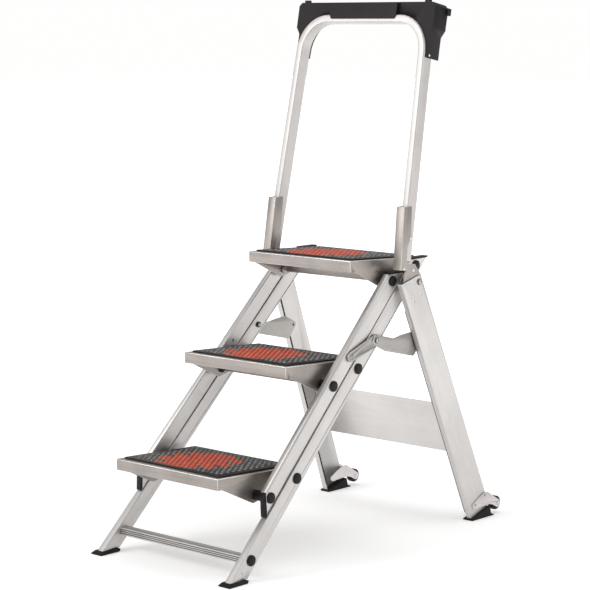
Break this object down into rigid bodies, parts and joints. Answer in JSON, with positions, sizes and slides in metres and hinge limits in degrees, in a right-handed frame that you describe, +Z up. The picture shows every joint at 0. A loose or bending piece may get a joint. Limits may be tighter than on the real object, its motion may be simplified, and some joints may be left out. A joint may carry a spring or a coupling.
{
  "type": "step stool",
  "caption": "Folding aluminium step stool with mat-covered treads between twin rails, splayed rear legs with small wheels, and a tall hand rail that carries a black tool tray.",
  "frame": {"origin": "under the middle of the open stool, on the floor", "axes": "+Z up, +Y the way a person faces when climbing, +X to that person's right"},
  "size_m": [0.519, 0.995, 1.3203],
  "materials": {
    "rail_aluminium": "satin extruded",
    "leg_aluminium": "satin sheet",
    "tread_aluminium": "brushed sheet",
    "bracket_steel": "brushed plate",
    "plated_steel": "zinc plated",
    "black_plastic": "fine texture",
    "tray_plastic": "moulded, fine texture",
    "wheel_plastic": "smooth",
    "foot_rubber": "moulded",
    "mat_rubber": "black with an orange middle area"
  },
  "bodies": {
    "frame": {"rear_rail_right": "rail_aluminium", "rear_rail_left": "rail_aluminium", "rear_rail_cap_right": "black_plastic", "rear_rail_cap_left": "black_plastic", "front_foot_right": "foot_rubber", "front_foot_left": "foot_rubber", "bottom_crossbar": "rail_aluminium", "crossbar_bolt_right": "black_plastic", "crossbar_bolt_left": "black_plastic", "hinge_bolt_right": "plated_steel", "hinge_bolt_left": "plated_steel", "hinge_spacer_right": "black_plastic", "hinge_spacer_left": "black_plastic", "step_1_rear_pin_right": "black_plastic", "step_1_rear_pin_left": "black_plastic", "step_2_rear_pin_right": "black_plastic", "step_2_rear_pin_left": "black_plastic", "step_3_rear_pin_right": "black_plastic", "step_3_rear_pin_left": "black_plastic"},
    "front_rails": {"front_rail_right": "rail_aluminium", "front_rail_left": "rail_aluminium", "front_rail_top_cap_right": "black_plastic", "front_rail_top_cap_left": "black_plastic", "front_rail_bottom_cap_right": "black_plastic", "front_rail_bottom_cap_left": "black_plastic", "step_1_front_pin_right": "black_plastic", "step_1_front_pin_left": "black_plastic", "step_2_front_pin_right": "black_plastic", "step_2_front_pin_left": "black_plastic", "step_3_front_pin_right": "black_plastic", "step_3_front_pin_left": "black_plastic"},
    "step_1": {"step_1_tread": "tread_aluminium", "step_1_mat": "mat_rubber"},
    "step_2": {"step_2_tread": "tread_aluminium", "step_2_mat": "mat_rubber"},
    "step_3": {"step_3_tread": "tread_aluminium", "step_3_mat": "mat_rubber"},
    "rear_legs": {"rear_leg_right": "leg_aluminium", "rear_leg_left": "leg_aluminium", "leg_edge_trim_right": "black_plastic", "leg_edge_trim_left": "black_plastic", "rear_cross_panel": "leg_aluminium", "wheel_fork_right": "plated_steel", "wheel_fork_left": "plated_steel", "rear_foot_right": "foot_rubber", "rear_foot_left": "foot_rubber"},
    "wheel_right": {"wheel_right": "wheel_plastic"},
    "wheel_left": {"wheel_left": "wheel_plastic"},
    "brace_right": {"brace_right": "bracket_steel", "brace_bolt_right": "black_plastic", "brace_glide_right": "black_plastic"},
    "brace_left": {"brace_left": "bracket_steel", "brace_bolt_left": "black_plastic", "brace_glide_left": "black_plastic"},
    "handle": {"handle_tube": "rail_aluminium", "handle_tray": "tray_plastic", "handle_bracket_right": "bracket_steel", "handle_bracket_left": "bracket_steel"}
  },
  "joints": [
    {"name": "step_2_fold", "type": "hinge", "parent": "frame", "child": "step_2", "pos_m": [0, -0.0208, 0.4395], "axis": [-1, 0, 0], "range_deg": [0, 124]},
    {"name": "step_1_fold", "type": "hinge", "parent": "frame", "child": "step_1", "pos_m": [0, -0.2513, 0.2109], "axis": [-1, 0, 0], "range_deg": [0, 124]},
    {"name": "step_3_fold", "type": "hinge", "parent": "frame", "child": "step_3", "pos_m": [0, 0.2097, 0.6681], "axis": [-1, 0, 0], "range_deg": [0, 124]},
    {"name": "front_rails_swing", "type": "hinge", "parent": "step_2", "child": "front_rails", "pos_m": [0, -0.1126, 0.4092], "axis": [-1, 0, 0], "range_deg": [-124, 0]},
    {"name": "brace_right_swing", "type": "hinge", "parent": "frame", "child": "brace_right", "pos_m": [0, 0.04187, 0.50167], "axis": [-1, 0, 0], "range_deg": [0, 124]},
    {"name": "brace_left_swing", "type": "hinge", "parent": "frame", "child": "brace_left", "pos_m": [0, 0.04187, 0.50167], "axis": [-1, 0, 0], "range_deg": [0, 124]},
    {"name": "rear_legs_swing", "type": "hinge", "parent": "frame", "child": "rear_legs", "pos_m": [0, 0.1915, 0.631], "axis": [-1, 0, 0], "range_deg": [0, 60.1]},
    {"name": "handle_swing", "type": "hinge", "parent": "frame", "child": "handle", "pos_m": [0, 0.1915, 0.631], "axis": [-1, 0, 0], "range_deg": [0, 34.2]},
    {"name": "wheel_right_spin", "type": "hinge", "parent": "rear_legs", "child": "wheel_right", "pos_m": [0.24165, 0.4795, 0.027], "axis": [1, 0, 0], "continuous": true},
    {"name": "wheel_left_spin", "type": "hinge", "parent": "rear_legs", "child": "wheel_left", "pos_m": [-0.24165, 0.4795, 0.027], "axis": [1, 0, 0], "continuous": true}
  ],
  "couplings": [
    {"joint": "step_1_fold", "follows": "step_2_fold", "ratio": 1},
    {"joint": "step_3_fold", "follows": "step_2_fold", "ratio": 1},
    {"joint": "front_rails_swing", "follows": "step_2_fold", "ratio": -1},
    {"joint": "brace_right_swing", "follows": "step_2_fold", "ratio": 1},
    {"joint": "brace_left_swing", "follows": "step_2_fold", "ratio": 1},
    {"joint": "rear_legs_swing", "follows": "step_2_fold", "ratio": 0.484},
    {"joint": "handle_swing", "follows": "step_2_fold", "ratio": 0.275}
  ]
}
